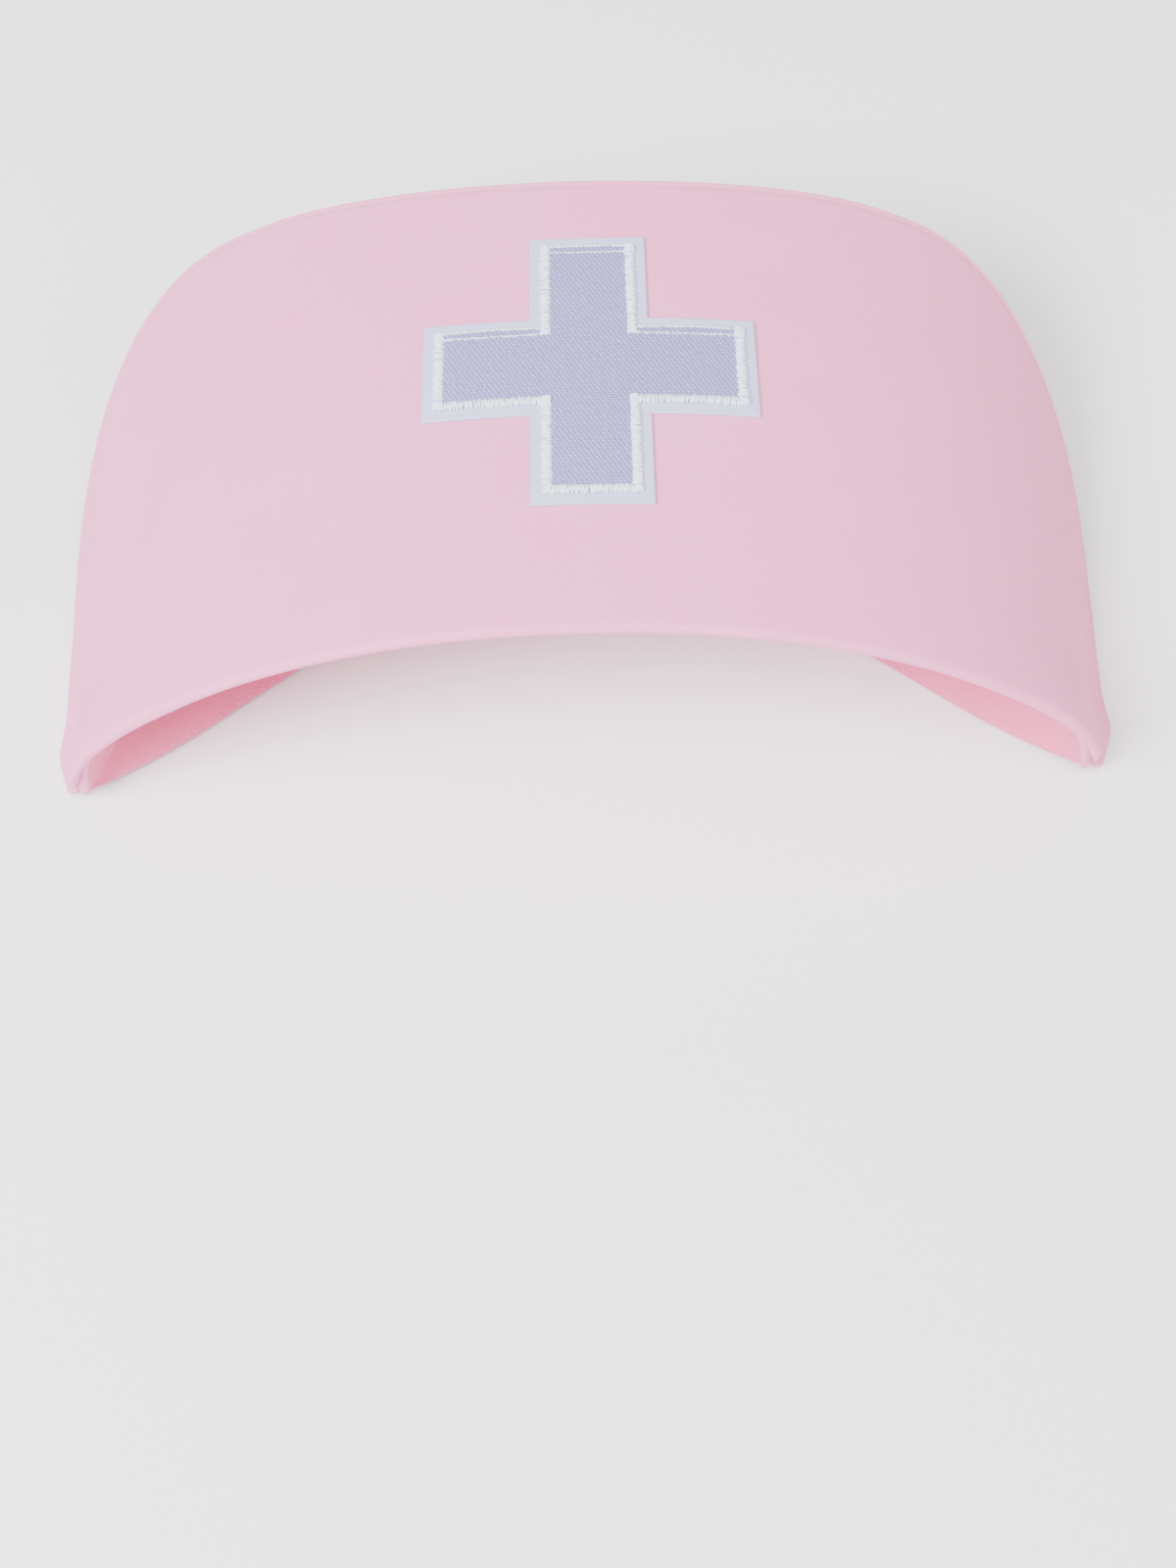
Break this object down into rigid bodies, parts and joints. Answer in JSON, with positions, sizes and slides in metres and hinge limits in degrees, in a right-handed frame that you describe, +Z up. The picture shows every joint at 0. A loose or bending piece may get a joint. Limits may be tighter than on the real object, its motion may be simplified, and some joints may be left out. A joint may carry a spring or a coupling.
{
  "type": "nurse cap",
  "caption": "Folded stiffened cotton nurse cap with a turned-up cuff, a cross patch in front and crossed wings buttoned behind.",
  "frame": {"origin": "middle of the bounding box at floor level, with the cap lying on its back", "axes": "+Z up; the opening for the head faces -Y, and the cap's front with its cross patch faces up"},
  "size_m": [0.239, 0.1312, 0.068],
  "materials": {
    "pink_cotton": "matt, starched, two plies",
    "pale_felt": "matt felt",
    "white_thread": "satin thread",
    "lavender_twill": "fine twill",
    "pearl_plastic": "pearly, glossy"
  },
  "bodies": {
    "root": {"cuff": "pink_cotton", "crown_wall": "pink_cotton", "crown_tongue": "pink_cotton", "wing_over": "pink_cotton", "wing_under": "pink_cotton", "cross_backing": "pale_felt", "cross_border": "white_thread", "cross_field": "lavender_twill", "button": "pearl_plastic", "button_thread": "white_thread"}
  },
  "joints": []
}
